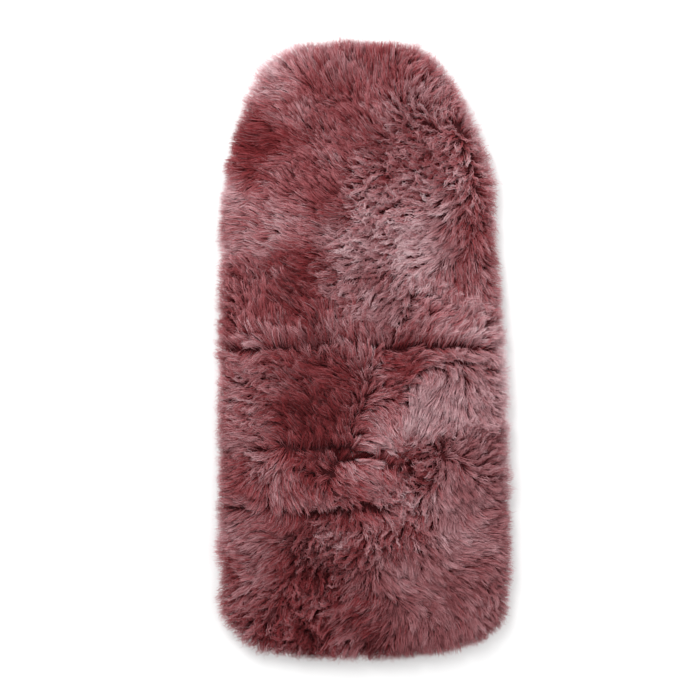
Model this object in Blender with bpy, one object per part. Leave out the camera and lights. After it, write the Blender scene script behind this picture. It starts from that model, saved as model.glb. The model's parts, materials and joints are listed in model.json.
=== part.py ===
"""Sheepskin pushchair liner: a long pad in three panels that folds at two cross seams.

Frame: X across, Y along the liner with the head end at +Y, Z up with the wool on top.
The origin is under the middle of the liner, on the surface that it lies on. Metres.

Each panel is a stack: lining, wadding, leather hide and the wool that grows from the hide.
The back panel folds up from the seat panel at the seat crease. The leg panel folds down over
the seat's front edge, and up on to the seat for storage. Both folds turn about a line in the
middle of the hide.
"""

import math

import bmesh
import bpy

# ---------------------------------------------------------------- driving dimensions
HALF_LENGTH = 0.389          # of the cut hide
HEAD_CORNER = (0.105, 0.357)  # where the flat head end turns into the taper
SHOULDER = (0.1675, 0.150)   # where the taper ends
HIP = (0.176, -0.060)        # where the width has reached that of the foot end
FOOT_CORNER = (0.176, -0.310)  # where the rounding of the foot end starts

BACK_FOLD_Y = 0.0            # the seam between the back panel and the seat panel
LEG_FOLD_Y = -0.205          # the seam between the seat panel and the leg panel
FOLDS = {"back_fold": BACK_FOLD_Y, "leg_fold": LEG_FOLD_Y}
FOLD_PANELS = {"back_fold": ("seat", "back"), "leg_fold": ("seat", "leg")}
FOLD_ANGLE = math.radians(95)  # how far each fold closes, wool against wool

SLOT_Y = -0.136              # the crotch strap slot, centred across the seat panel
SLOT_LENGTH = 0.096          # clear opening inside the facing
SLOT_WIDTH = 0.010
SLOT_END_STEPS = 8           # straight runs round each end of the slot

GAP = 0.0003                 # between neighbouring pieces
LINING_THICKNESS = 0.0010
WADDING_THICKNESS = 0.0040
HIDE_THICKNESS = 0.0020
WOOL_THICKNESS = 0.0270
WOOL_ROUNDING = 0.0120       # the wool bulges this far past its own foot
TAPE_THICKNESS = 0.0007      # edge binding and slot facing
BINDING_LEG = 0.0090         # how far the binding laps over the hide and under the wadding
FACING_FLANGE = 0.0050       # how far the slot facing laps over the hide and under the wadding
SEAM_TAPE_WIDTH = 0.026
FOLD_CLEARANCE = math.radians(1)

# ---------------------------------------------------------------- heights of the layers
WADDING_BASE = LINING_THICKNESS + GAP
HIDE_BASE = WADDING_BASE + WADDING_THICKNESS + GAP
HIDE_TOP = HIDE_BASE + HIDE_THICKNESS
BINDING_TOP = HIDE_TOP + GAP + TAPE_THICKNESS
WOOL_BASE = BINDING_TOP + GAP
WOOL_TOP = WOOL_BASE + WOOL_THICKNESS
AXIS_Z = HIDE_BASE + HIDE_THICKNESS / 2

# ---------------------------------------------------------------- how far panels stop short
HIDE_SEAM_GAP = 0.0015                                   # each side of a fold line
LINING_SEAM_GAP = SEAM_TAPE_WIDTH / 2 + GAP
WADDING_SEAM_GAP = SEAM_TAPE_WIDTH / 2
BINDING_SEAM_GAP = AXIS_Z * math.tan(FOLD_ANGLE / 2) + GAP
WOOL_SEAM_GAP = 0.0004                                   # each side, where the fold opens the wool
LINING_INSET = BINDING_LEG + GAP
WOOL_INSET = 0.001                                       # the foot of the wool, inside the cut edge

FAR = 0.6                                                # past every side of the liner
CUT_HALF = 0.15                                          # half the height of a cut right through


def start_empty():
    """Remove every object, and make one collection for the parts and one for the cutters."""
    for old in list(bpy.data.objects):
        bpy.data.objects.remove(old, do_unlink=True)
    collections = []
    for name in ("pushchair_liner", "cutters"):
        collection = bpy.data.collections.new(name)
        bpy.context.scene.collection.children.link(collection)
        collections.append(collection)
    return collections


PARTS, CUTTERS = start_empty()


def material(name, colour, roughness, metallic=0.0):
    """A Principled material in a plain colour."""
    made = bpy.data.materials.new(name)
    made.use_nodes = True
    shader = made.node_tree.nodes["Principled BSDF"]
    shader.inputs["Base Color"].default_value = (*colour, 1.0)
    shader.inputs["Roughness"].default_value = roughness
    shader.inputs["Metallic"].default_value = metallic
    return made


WOOL = material("wool", (0.30, 0.10, 0.12), 0.85)
HIDE = material("hide", (0.66, 0.55, 0.45), 0.75)
WADDING = material("wadding", (0.86, 0.85, 0.82), 0.95)
LINING = material("lining", (0.42, 0.22, 0.24), 0.90)
BINDING = material("binding", (0.24, 0.09, 0.10), 0.85)
SEAM_TAPE = material("seam_tape", (0.28, 0.11, 0.12), 0.85)


# ---------------------------------------------------------------- outlines and solids
def liner_outline(edge_offset):
    """The closed outline of the liner, moved outwards from the cut edge by edge_offset."""
    curve = bpy.data.curves.new("liner_outline", "CURVE")
    curve.dimensions = "2D"
    curve.fill_mode = "BOTH"
    curve.resolution_u = 8
    right_side = [  # point, handle towards the head end, handle towards the foot end
        (HEAD_CORNER, (-0.016, 0.021), (0.026, -0.034)),
        (SHOULDER, (0, 0.099), (0, -0.06)),
        (HIP, (0, 0.08), (0, -0.08)),
        (FOOT_CORNER, (0, 0.08), (0, -0.070)),
    ]
    top = [((0, HALF_LENGTH), (-0.075, 0), (0.075, 0))]
    bottom = [((0, -HALF_LENGTH), (0.120, 0), (-0.120, 0))]
    left_side = [
        ((-x, y), (-after[0], after[1]), (-before[0], before[1]))
        for (x, y), before, after in reversed(right_side)
    ]
    points = top + right_side + bottom + left_side
    spline = curve.splines.new("BEZIER")
    spline.bezier_points.add(len(points) - 1)
    spline.use_cyclic_u = True
    for bezier, ((x, y), before, after) in zip(spline.bezier_points, points):
        bezier.co = (x, y, 0)
        bezier.handle_left_type = bezier.handle_right_type = "FREE"
        bezier.handle_left = (x + before[0], y + before[1], 0)
        bezier.handle_right = (x + after[0], y + after[1], 0)
    curve.offset = edge_offset
    return curve


def slot_outline(edge_offset):
    """The closed outline of the slot, a straight run with round ends, moved outwards."""
    curve = bpy.data.curves.new("slot_outline", "CURVE")
    curve.dimensions = "2D"
    curve.fill_mode = "BOTH"
    radius = SLOT_WIDTH / 2 + edge_offset
    straight = SLOT_LENGTH / 2 - SLOT_WIDTH / 2
    points = []
    for centre, start in ((straight, -math.pi / 2), (-straight, math.pi / 2)):
        for step in range(SLOT_END_STEPS + 1):
            angle = start + math.pi * step / SLOT_END_STEPS
            points.append((centre + radius * math.cos(angle), SLOT_Y + radius * math.sin(angle)))
    spline = curve.splines.new("POLY")
    spline.points.add(len(points) - 1)
    spline.use_cyclic_u = True
    for point, (x, y) in zip(spline.points, points):
        point.co = (x, y, 0, 1)
    return curve


def wedge_outline(half_angle, apex_z):
    """A triangle that opens upwards from its apex, in the plane across a fold."""
    curve = bpy.data.curves.new("wedge_outline", "CURVE")
    curve.dimensions = "2D"
    curve.fill_mode = "BOTH"
    height = 2 * WOOL_TOP
    spread = height * math.tan(half_angle)
    spline = curve.splines.new("POLY")
    spline.points.add(2)
    spline.use_cyclic_u = True
    for point, (y, z) in zip(
        spline.points, ((0, apex_z), (spread, apex_z + height), (-spread, apex_z + height))
    ):
        point.co = (y, z, 0, 1)
    return curve


def as_mesh(curve_object, name, collection):
    """Turn a curve object into a mesh object with its caps welded, in the same place."""
    bpy.context.view_layer.update()
    evaluated = curve_object.evaluated_get(bpy.context.evaluated_depsgraph_get())
    mesh = bpy.data.meshes.new_from_object(evaluated)
    mesh.name = name
    welded = bmesh.new()
    welded.from_mesh(mesh)
    bmesh.ops.remove_doubles(welded, verts=welded.verts, dist=0.00001)
    bmesh.ops.recalc_face_normals(welded, faces=welded.faces)
    welded.to_mesh(mesh)
    welded.free()
    place = curve_object.matrix_world.copy()
    bpy.data.objects.remove(curve_object, do_unlink=True)
    mesh_object = bpy.data.objects.new(name, mesh)
    mesh_object.matrix_world = place
    collection.objects.link(mesh_object)
    return mesh_object


def slab(name, curve, low, high, collection=CUTTERS, rounding=0.0):
    """A flat solid between two heights, with an outline, and its edge rounded outwards."""
    curve.extrude = (high - low) / 2 - rounding
    curve.bevel_depth = rounding
    curve.bevel_resolution = 2
    curve_object = bpy.data.objects.new(name, curve)
    CUTTERS.objects.link(curve_object)
    curve_object.location = (0, 0, (low + high) / 2)
    return as_mesh(curve_object, name, collection)


def wedge(name, fold_y, half_angle, apex_z):
    """A triangular bar along a fold that opens upwards from its apex."""
    curve = wedge_outline(half_angle, apex_z)
    curve.extrude = FAR
    curve_object = bpy.data.objects.new(name, curve)
    CUTTERS.objects.link(curve_object)
    curve_object.location = (0, fold_y, 0)
    curve_object.rotation_euler = (math.pi / 2, 0, math.pi / 2)
    return as_mesh(curve_object, name, CUTTERS)


def block(name, x_range, y_range):
    """A box cutter between two values of X and two of Y, taller than the liner."""
    bpy.ops.mesh.primitive_cube_add(size=1)
    made = bpy.context.object
    made.name = name
    made.location = (sum(x_range) / 2, sum(y_range) / 2, 0)
    made.scale = (x_range[1] - x_range[0], y_range[1] - y_range[0], FAR)
    bpy.ops.object.transform_apply(location=False, rotation=False, scale=True)
    for collection in made.users_collection:
        collection.objects.unlink(made)
    CUTTERS.objects.link(made)
    return made


def shape(solid, cutter, operation):
    """Add an exact Boolean to a solid, and mark its cutter as one."""
    modifier = solid.modifiers.new(operation.lower(), "BOOLEAN")
    modifier.operation = operation
    modifier.solver = "EXACT"
    modifier.object = cutter
    cutter.display_type = "WIRE"
    cutter.hide_render = True


def finish(solid, look):
    """Give a part its material and smooth shading with crisp edges."""
    solid.data.materials.append(look)
    solid.data.shade_smooth()
    solid.data.set_sharp_from_angle(angle=math.radians(40))


# ---------------------------------------------------------------- the three panels
def panel_span(panel, seam_gap):
    """The lowest and highest Y of a panel that stops seam_gap short of its fold lines."""
    spans = {
        "back": (BACK_FOLD_Y + seam_gap, FAR),
        "seat": (LEG_FOLD_Y + seam_gap, BACK_FOLD_Y - seam_gap),
        "leg": (-FAR, LEG_FOLD_Y - seam_gap),
    }
    return spans[panel]


def slot_clearance(kind):
    """How far a layer's hole stands off the slot's clear opening: past the facing's flange for
    the lining, and past the facing's wall for the others."""
    return GAP + (FACING_FLANGE if kind == "lining" else TAPE_THICKNESS)


def layer(panel, kind, edge_offset, low, high, seam_gap, look, rounding=0.0):
    """One layer of one panel, cut from the whole outline."""
    name = f"{panel}_{kind}"
    made = slab(name, liner_outline(edge_offset), low, high, PARTS, rounding)
    shape(made, block(f"{name}_span", (-FAR, FAR), panel_span(panel, seam_gap)), "INTERSECT")
    if panel == "seat":
        hole = slab(f"{name}_slot", slot_outline(slot_clearance(kind)), -CUT_HALF, CUT_HALF)
        shape(made, hole, "DIFFERENCE")
    finish(made, look)
    return made


def groove(name, fold_y, apex_z):
    """A wedge over a fold line, as wide as the wool has to give way when the fold closes."""
    return wedge(name, fold_y, FOLD_ANGLE / 2 + FOLD_CLEARANCE, apex_z)


def build_layers():
    """Lining, wadding, hide and wool of the back, seat and leg panels."""
    for panel in ("back", "seat", "leg"):
        layer(panel, "lining", -LINING_INSET, 0, LINING_THICKNESS, LINING_SEAM_GAP, LINING)
        layer(
            panel, "wadding", 0, WADDING_BASE, WADDING_BASE + WADDING_THICKNESS,
            WADDING_SEAM_GAP, WADDING,
        )
        layer(panel, "hide", 0, HIDE_BASE, HIDE_TOP, HIDE_SEAM_GAP, HIDE)
        wool = layer(
            panel, "wool_pile", -WOOL_INSET, WOOL_BASE, WOOL_TOP, WOOL_SEAM_GAP, WOOL,
            WOOL_ROUNDING,
        )
        for fold, fold_y in FOLDS.items():
            if panel in FOLD_PANELS[fold]:
                cutter = groove(f"{panel}_{fold}_groove", fold_y, AXIS_Z - WOOL_SEAM_GAP)
                shape(wool, cutter, "DIFFERENCE")


def build_fold_wool():
    """The wool along each fold, which crumples when the fold closes."""
    for fold, fold_y in FOLDS.items():
        name = f"{fold}_wool"
        wool = slab(
            name, liner_outline(-WOOL_INSET), WOOL_BASE, WOOL_TOP, PARTS, WOOL_ROUNDING,
        )
        shape(wool, groove(f"{name}_wedge", fold_y, AXIS_Z + WOOL_SEAM_GAP), "INTERSECT")
        finish(wool, WOOL)


# ---------------------------------------------------------------- edge binding and tapes
def build_edge_binding():
    """The binding round the liner's edge, in one piece per stretch between the folds."""
    stretches = {
        "back_edge_binding": ("back", (-FAR, FAR)),
        "seat_edge_binding_left": ("seat", (-FAR, 0)),
        "seat_edge_binding_right": ("seat", (0, FAR)),
        "leg_edge_binding": ("leg", (-FAR, FAR)),
    }
    for name, (panel, x_range) in stretches.items():
        tape = slab(name, liner_outline(TAPE_THICKNESS + GAP), GAP, BINDING_TOP, PARTS)
        opening = slab(f"{name}_opening", liner_outline(-BINDING_LEG), -CUT_HALF, CUT_HALF)
        core = slab(
            f"{name}_core", liner_outline(GAP), GAP + TAPE_THICKNESS, HIDE_TOP + GAP,
        )
        span = block(f"{name}_span", x_range, panel_span(panel, BINDING_SEAM_GAP))
        shape(tape, span, "INTERSECT")
        shape(tape, opening, "DIFFERENCE")
        shape(tape, core, "DIFFERENCE")
        finish(tape, BINDING)


def build_slot_facing():
    """The facing of the crotch strap slot: a wall through the pad with two flanges."""
    facing = slab("slot_facing", slot_outline(FACING_FLANGE), GAP, BINDING_TOP, PARTS)
    opening = slab("slot_facing_opening", slot_outline(0), -CUT_HALF, CUT_HALF)
    core = slab(
        "slot_facing_core", slot_outline(2 * FACING_FLANGE), GAP + TAPE_THICKNESS,
        HIDE_TOP + GAP,
    )
    wall = slab("slot_facing_wall", slot_outline(TAPE_THICKNESS), -CUT_HALF, CUT_HALF)
    shape(core, wall, "DIFFERENCE")
    shape(facing, opening, "DIFFERENCE")
    shape(facing, core, "DIFFERENCE")
    finish(facing, BINDING)


def build_seam_tapes():
    """The tape sewn across the underside at each fold, level with the linings."""
    for fold, fold_y in FOLDS.items():
        name = f"{fold}_tape"
        tape = slab(name, liner_outline(-LINING_INSET), 0, LINING_THICKNESS, PARTS)
        half = SEAM_TAPE_WIDTH / 2
        span = block(f"{name}_span", (-FAR, FAR), (fold_y - half, fold_y + half))
        shape(tape, span, "INTERSECT")
        finish(tape, SEAM_TAPE)


build_layers()
build_fold_wool()
build_edge_binding()
build_slot_facing()
build_seam_tapes()
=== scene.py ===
"""Looks of the sheepskin pushchair liner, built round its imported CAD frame.

The wool is made as locks: bundles of thin closed strands that lie, curl and part as a clipped
and brushed sheepskin does. Under it are an undercoat, the hide's bound edge, the padded layer,
the woven lining and the tapes at the two folds. X is across, +Y is the head end, +Z is up, and
every size is in metres.
"""

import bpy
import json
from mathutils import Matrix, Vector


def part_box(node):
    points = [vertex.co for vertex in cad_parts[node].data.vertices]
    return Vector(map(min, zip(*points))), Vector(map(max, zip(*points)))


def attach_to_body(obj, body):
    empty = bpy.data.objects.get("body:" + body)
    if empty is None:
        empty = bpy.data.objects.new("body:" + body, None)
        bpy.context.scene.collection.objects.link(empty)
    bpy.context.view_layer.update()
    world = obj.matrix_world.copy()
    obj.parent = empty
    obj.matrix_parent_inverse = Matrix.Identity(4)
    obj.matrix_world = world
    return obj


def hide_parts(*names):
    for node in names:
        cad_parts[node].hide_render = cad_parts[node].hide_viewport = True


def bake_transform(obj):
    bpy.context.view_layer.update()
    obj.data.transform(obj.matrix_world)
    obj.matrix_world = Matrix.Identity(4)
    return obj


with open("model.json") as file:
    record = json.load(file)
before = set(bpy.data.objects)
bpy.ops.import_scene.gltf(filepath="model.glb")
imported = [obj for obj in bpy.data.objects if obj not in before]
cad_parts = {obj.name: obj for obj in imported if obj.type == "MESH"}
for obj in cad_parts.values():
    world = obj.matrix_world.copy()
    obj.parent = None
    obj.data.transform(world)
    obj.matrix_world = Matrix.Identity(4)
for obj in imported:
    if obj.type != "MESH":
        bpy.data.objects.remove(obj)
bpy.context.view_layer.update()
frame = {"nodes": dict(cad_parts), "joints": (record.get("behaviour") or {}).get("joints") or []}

import json
import math

import bpy
import numpy as np

TAU = 2 * math.pi

# ------------------------------------------------------------------ places read from the frame
HIDE_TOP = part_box("seat_hide")[1].z
HIDE_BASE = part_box("seat_hide")[0].z
WADDING_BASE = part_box("seat_wadding")[0].z
WOOL_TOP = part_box("seat_wool_pile")[1].z
BINDING_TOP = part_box("seat_edge_binding_left")[1].z
FOLD = {joint["name"]: joint["pos_m"] for joint in frame["joints"]}
BACK_FOLD_Y = FOLD["back_fold"][1]
LEG_FOLD_Y = FOLD["leg_fold"][1]
SLOT_LOW, SLOT_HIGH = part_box("slot_facing")
SLOT_FLANGE = 0.005
SLOT_HALF = SLOT_HIGH.x - SLOT_FLANGE
SLOT_Y = (SLOT_LOW.y + SLOT_HIGH.y) / 2
SLOT_WIDTH = SLOT_HIGH.y - SLOT_LOW.y - 2 * SLOT_FLANGE
EDGE_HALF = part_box("seat_hide")[1].x
TAPE_LOW, TAPE_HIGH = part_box("back_fold_tape")
TAPE_HALF = (TAPE_HIGH.y - TAPE_LOW.y) / 2
LINING_INSET = EDGE_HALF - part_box("seat_lining")[1].x
BINDING_LEG = LINING_INSET - 0.0003
BINDING_GAP = BACK_FOLD_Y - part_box("seat_edge_binding_left")[1].y
HIDE_GAP = BACK_FOLD_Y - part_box("seat_hide")[1].y

# ------------------------------------------------------------------ how the wool lies
UPRIGHT, LEANING, COMBED = 0.5, 0.7, 0.9      # how far the wool leans over
SMOOTH, WAVY, CURLY = 0.15, 0.45, 0.85        # how crimped its locks are
DEEP, MIDDLE, PALE, BRIGHT = -0.5, 0.0, 0.5, 0.9
PINK, DUSTY, GREY = 0.08, 0.25, 0.6           # how many of its strands have lost their pink

# The fleece in large patches. Each has its place on its panel (across, from -1
# at the left edge to 1 at the right, and along, from 0 at the foot end to 1 at the head end), the
# heading of its tips in degrees (0 is +X, 90 is towards the head end), lean, crimp, tone and grey.
BACK_PATCHES = (
    (-0.6, 0.90, 150, COMBED, WAVY, BRIGHT, DUSTY),      # swept out over both upper corners
    (0.0, 0.95, 90, LEANING, SMOOTH, MIDDLE, DUSTY),
    (0.6, 0.85, 45, LEANING, WAVY, PALE, DUSTY),
    (-0.1, 0.78, 120, UPRIGHT, SMOOTH, MIDDLE, PINK),
    (-0.8, 0.65, 180, COMBED, SMOOTH, DEEP, PINK),       # combed outwards down the left side
    (-0.9, 0.45, 180, COMBED, SMOOTH, PALE, DUSTY),
    (-0.6, 0.38, 180, COMBED, SMOOTH, PALE, DUSTY),
    (-0.3, 0.52, 150, UPRIGHT, SMOOTH, MIDDLE, PINK),
    (-0.4, 0.24, 150, UPRIGHT, SMOOTH, DEEP, PINK),      # the deep pink hollow of the lower back
    (0.4, 0.66, 180, LEANING, CURLY, MIDDLE, DUSTY),     # curls that lie to the left
    (0.8, 0.66, 195, LEANING, CURLY, MIDDLE, DUSTY),
    (0.2, 0.52, 180, LEANING, CURLY, PALE, DUSTY),
    (0.1, 0.34, 195, COMBED, CURLY, PALE, GREY),         # the grey bloom in the middle
    (0.5, 0.33, 195, COMBED, WAVY, BRIGHT, GREY),
    (0.1, 0.20, 240, LEANING, WAVY, MIDDLE, GREY),
    (0.9, 0.45, 255, LEANING, WAVY, MIDDLE, DUSTY),      # turned down along the right side
    (0.8, 0.28, 270, LEANING, SMOOTH, MIDDLE, DUSTY),
    (-0.8, 0.12, 105, LEANING, WAVY, MIDDLE, PINK),      # upright tufts above the seat crease
    (-0.1, 0.06, 90, LEANING, WAVY, MIDDLE, DUSTY),
    (0.6, 0.09, 45, LEANING, WAVY, PALE, DUSTY),
)
SEAT_PATCHES = (
    (-0.8, 0.85, 165, LEANING, WAVY, PALE, DUSTY),
    (-0.3, 0.75, 150, UPRIGHT, SMOOTH, DEEP, PINK),      # the smooth deep pink of the seat
    (-0.3, 0.45, 120, UPRIGHT, SMOOTH, DEEP, PINK),
    (-0.8, 0.40, 195, LEANING, WAVY, MIDDLE, DUSTY),
    (0.3, 0.85, 15, UPRIGHT, WAVY, DEEP, PINK),
    (0.5, 0.66, 225, COMBED, SMOOTH, BRIGHT, GREY),      # a pale sweep down to the left
    (0.9, 0.70, 300, LEANING, WAVY, PALE, GREY),
    (0.8, 0.35, 45, LEANING, WAVY, MIDDLE, GREY),
    (0.1, 0.36, 330, COMBED, SMOOTH, BRIGHT, DUSTY),     # one pale lock across the slot
    (0.4, 0.30, 180, UPRIGHT, CURLY, DEEP, PINK),
    (-0.5, 0.12, 285, LEANING, SMOOTH, MIDDLE, DUSTY),
    (0.1, 0.12, 315, LEANING, WAVY, MIDDLE, DUSTY),
    (0.6, 0.10, 285, LEANING, SMOOTH, MIDDLE, GREY),
)
LEG_PATCHES = (
    (-0.8, 0.80, 180, LEANING, SMOOTH, MIDDLE, DUSTY),
    (-0.3, 0.80, 210, UPRIGHT, CURLY, DEEP, DUSTY),
    (0.2, 0.85, 270, UPRIGHT, CURLY, DEEP, DUSTY),
    (0.8, 0.80, 15, COMBED, SMOOTH, MIDDLE, GREY),
    (-0.8, 0.40, 210, LEANING, WAVY, MIDDLE, DUSTY),
    (-0.4, 0.42, 240, UPRIGHT, CURLY, DEEP, PINK),
    (-0.5, 0.12, 255, LEANING, CURLY, DEEP, PINK),
    (0.0, 0.22, 195, LEANING, WAVY, DEEP, DUSTY),
    (0.4, 0.50, 315, COMBED, SMOOTH, MIDDLE, GREY),      # long locks fanned over the foot end
    (0.8, 0.35, 300, COMBED, WAVY, DEEP, GREY),
    (0.5, 0.12, 285, COMBED, SMOOTH, DEEP, GREY),
)
PATCH_BLUR = 0.016           # how softly one patch of wool passes into the next
BORDER_WANDER = 0.014        # how far the border between them strays
BORDER_FRAY = 0.006          # and how far it strays in fine

# ------------------------------------------------------------------ how the wool is built
LOCK_SPACING = 0.0056        # between the roots of neighbouring locks
LOCK_POINTS = 11             # along a lock's centre line
LOCK_RADIUS = 0.0042         # of the bundle of strands, at its root
LOCK_LENGTH = 0.0285
STRAND_RADIUS = 0.00045      # at the root; it thins to the tip
CRIMP_LENGTH = 0.0080        # from one wave of the crimp to the next
CURLED = 0.42                # locks with more crimp than this are curled, the others combed
MAX_FACES_PER_PIECE = 190000
BRUSHED_TOP = 0.0385         # above this height the locks are brushed flatter
FOLD_WOOL_HALF = 0.040       # wool rooted within this of a fold line goes into the fold's own pieces
TONES = 10                   # steps of wool colour from the dark root, darkened partly as painted shade, to the pale tip


# ------------------------------------------------------------------ small tools
def smooth(x, low=0.0, high=1.0):
    """0 below low, 1 above high and a smooth step between."""
    t = np.clip((x - low) / (high - low), 0, 1)
    return t * t * (3 - 2 * t)


def noise(x, y, cell, seed):
    """Smooth noise from -1 to 1 over the plane, one random value to each cell's corner."""
    table = np.random.default_rng(seed).uniform(-1, 1, (97, 89))
    u, v = np.asarray(x) / cell + 41.3, np.asarray(y) / cell + 37.7
    i, j = np.floor(u).astype(int), np.floor(v).astype(int)
    fu, fv = smooth(u - i), smooth(v - j)
    i, j = i % 96, j % 88
    low = table[i, j] * (1 - fu) + table[i + 1, j] * fu
    high = table[i, j + 1] * (1 - fu) + table[i + 1, j + 1] * fu
    return low * (1 - fv) + high * fv


def unit(vectors):
    """The vectors with length 1."""
    return vectors / np.maximum(np.linalg.norm(vectors, axis=-1, keepdims=True), 1e-12)


def linear(red, green, blue):
    """A linear colour with alpha from screen values of 0 to 255."""
    values = [c / 255 for c in (red, green, blue)]
    return [c / 12.92 if c < 0.04045 else ((c + 0.055) / 1.055) ** 2.4 for c in values] + [1]


def mesh_object(name, points, faces, materials, smooth_faces=True):
    """A mesh object from points and faces."""
    mesh = bpy.data.meshes.new(name)
    mesh.from_pydata([tuple(p) for p in points], [], [tuple(f) for f in faces])
    mesh.polygons.foreach_set("use_smooth", [smooth_faces] * len(mesh.polygons))
    for material in materials:
        mesh.materials.append(material)
    made = bpy.data.objects.new(name, mesh)
    bpy.context.scene.collection.objects.link(made)
    return made


# ------------------------------------------------------------------ the liner's cut edge
def cut_edge():
    """The corners of the hide's outline, anticlockwise, from the three hide nodes."""
    points = sorted(
        {
            (round(v.co.x, 5), round(v.co.y, 5))
            for panel in ("back", "seat", "leg")
            for v in frame["nodes"][f"{panel}_hide"].data.vertices
        }
    )

    def chain(ordered):
        kept = []
        for p in ordered:
            while len(kept) > 1 and (
                (kept[-1][0] - kept[-2][0]) * (p[1] - kept[-2][1])
                - (kept[-1][1] - kept[-2][1]) * (p[0] - kept[-2][0])
            ) <= 0:
                kept.pop()
            kept.append(p)
        return kept[:-1]

    return np.array(chain(points) + chain(points[::-1]))


EDGE = cut_edge()
EDGE_NORMAL = unit(
    np.stack([np.roll(EDGE, -1, 0)[:, 1] - EDGE[:, 1], EDGE[:, 0] - np.roll(EDGE, -1, 0)[:, 0]], 1)
)


def inside(x, y):
    """How far each point lies inside the cut edge, and the outward direction nearest to it."""
    reach = ((EDGE[None] - np.stack([x, y], -1)[:, None]) * EDGE_NORMAL[None]).sum(-1)
    nearest = reach.argmin(1)
    softened = np.exp(-(reach - reach.min(1, keepdims=True)) / 0.012)
    outward = unit((softened[..., None] * EDGE_NORMAL[None]).sum(1))
    return reach[np.arange(len(reach)), nearest], outward


def edge_path(offset, spacing):
    """Points along the cut edge moved outwards by offset, evenly spaced, starting at the head."""
    corner = unit(EDGE_NORMAL + np.roll(EDGE_NORMAL, 1, 0))
    moved = EDGE + corner * offset
    start = np.argmax(moved[:, 1] - abs(moved[:, 0]) * 0.2)
    moved = np.roll(moved, -start, 0)
    closed = np.vstack([moved, moved[:1]])
    along = np.concatenate([[0], np.cumsum(np.linalg.norm(np.diff(closed, axis=0), axis=1))])
    at = np.linspace(0, along[-1], int(along[-1] / spacing) + 1)[:-1]
    return np.stack([np.interp(at, along, closed[:, k]) for k in (0, 1)], 1)


def half_width(y, offset=0.0):
    """Half the liner's width at each y, out to the cut edge moved by offset."""
    path = edge_path(offset, 0.002)
    right = path[path[:, 0] > 0]
    right = right[right[:, 1].argsort()]
    return np.interp(y, right[:, 1], right[:, 0])


def slot_distance(x, y):
    """The distance of each point from the slot's centre line."""
    beyond = np.maximum(abs(x) - (SLOT_HALF - SLOT_WIDTH / 2), 0)
    return np.hypot(beyond, y - SLOT_Y)


# ------------------------------------------------------------------ materials
def wool_shade(name, colour, paleness):
    """One shade of dyed wool: soft, with the pale sheen that fine fibres have at their edges,
    less on the darker shades, which stand partly for painted shade at the roots, than on the paler ones."""
    material = bpy.data.materials.new(name)
    material.use_nodes = True
    shader = material.node_tree.nodes["Principled BSDF"]
    shader.inputs["Base Color"].default_value = colour
    shader.inputs["Roughness"].default_value = 0.60
    shader.inputs["Specular IOR Level"].default_value = 0.10 + 0.20 * paleness
    shader.inputs["Sheen Weight"].default_value = 0.04 + 0.18 * paleness
    shader.inputs["Sheen Roughness"].default_value = 0.45
    shader.inputs["Sheen Tint"].default_value = (1.0, 0.80, 0.84, 1)
    return material


def wool_shades():
    """The wool's shades: a family of pinks, then a family of greyed pinks, each dark to light.
    The strands' colour varies face by face among them, because a strand is thinner than a
    texture could follow."""
    families = (
        ("pink", ((70, 7, 10), (150, 55, 59), (198, 121, 126), (244, 192, 197))),
        ("grey", ((84, 26, 29), (162, 94, 98), (214, 166, 171), (246, 216, 220))),
    )
    shades = []
    for family, stops in families:
        for step in range(TONES):
            at = step / (TONES - 1) * (len(stops) - 1)
            low = min(int(at), len(stops) - 2)
            share = at - low
            mixed = [a + (b - a) * share for a, b in zip(stops[low], stops[low + 1])]
            paleness = step / (TONES - 1)
            shades.append(wool_shade(f"wool_{family}_{step}", linear(*mixed), paleness))
    return shades


WOOL_SHADES = wool_shades()


# ------------------------------------------------------------------ materials of the pad
def noise_node(tree, place, scale, detail=3):
    """A noise texture over the object's own coordinates."""
    made = tree.nodes.new("ShaderNodeTexNoise")
    made.inputs["Scale"].default_value = scale
    made.inputs["Detail"].default_value = detail
    tree.links.new(place, made.inputs["Vector"])
    return made.outputs["Fac"]


def ramp_node(tree, factor, low_colour, high_colour, low=0.3, high=0.7):
    """A colour ramp between two colours."""
    made = tree.nodes.new("ShaderNodeValToRGB")
    made.color_ramp.elements[0].position = low
    made.color_ramp.elements[0].color = low_colour
    made.color_ramp.elements[1].position = high
    made.color_ramp.elements[1].color = high_colour
    tree.links.new(factor, made.inputs["Fac"])
    return made.outputs["Color"]


def bump_from(tree, height, strength, distance):
    """A bump from a height into the material's normal."""
    made = tree.nodes.new("ShaderNodeBump")
    made.inputs["Strength"].default_value = strength
    made.inputs["Distance"].default_value = distance
    tree.links.new(height, made.inputs["Height"])
    tree.links.new(made.outputs["Normal"], tree.nodes["Principled BSDF"].inputs["Normal"])


def math_node(tree, operation, *values):
    """A maths node on sockets or numbers."""
    made = tree.nodes.new("ShaderNodeMath")
    made.operation = operation
    for socket, value in zip(made.inputs, values):
        if isinstance(value, (int, float)):
            socket.default_value = value
        else:
            tree.links.new(value, socket)
    return made.outputs[0]


def start_material(name, roughness, sheen=0.0):
    """A new material, its node tree and its object coordinates."""
    material = bpy.data.materials.new(name)
    material.use_nodes = True
    tree = material.node_tree
    shader = tree.nodes["Principled BSDF"]
    shader.inputs["Roughness"].default_value = roughness
    shader.inputs["Specular IOR Level"].default_value = 0.25
    shader.inputs["Sheen Weight"].default_value = sheen
    return material, tree, tree.nodes.new("ShaderNodeTexCoord").outputs["Object"]


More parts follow.
